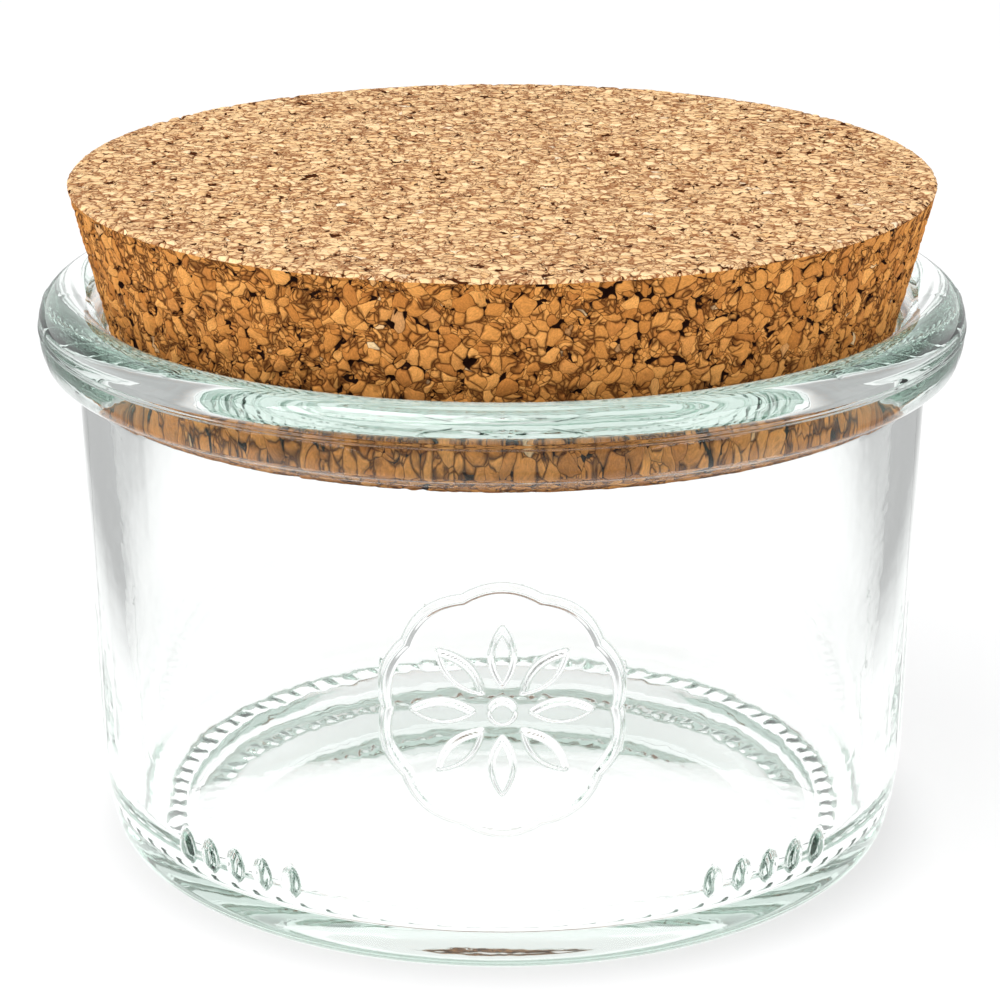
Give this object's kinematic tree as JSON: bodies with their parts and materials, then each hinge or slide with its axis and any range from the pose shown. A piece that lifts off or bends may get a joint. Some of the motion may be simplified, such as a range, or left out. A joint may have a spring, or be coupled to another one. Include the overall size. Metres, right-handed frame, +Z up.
{
  "type": "glass jar with cork lid",
  "caption": "Low, wide pressed-glass preserving jar with a rolled rim and a knurled foot ring, closed by a tapered agglomerated-cork lid that lifts straight out of its mouth.",
  "frame": {"origin": "middle of the face that the jar stands on", "axes": "+Z up along the jar's axis; the mould's two side seams lie in the XZ plane, and the raised medallion on the wall faces -Y"},
  "size_m": [0.0902, 0.0902, 0.0669],
  "materials": {
    "glass": "gloss",
    "cork": "matte"
  },
  "bodies": {
    "jar": {"glass_jar": "glass"},
    "lid": {"cork_lid": "cork"}
  },
  "joints": [
    {"name": "lid_lift", "type": "slide", "parent": "jar", "child": "lid", "axis": [0, 0, 1], "range_m": [0, 0.06]}
  ]
}
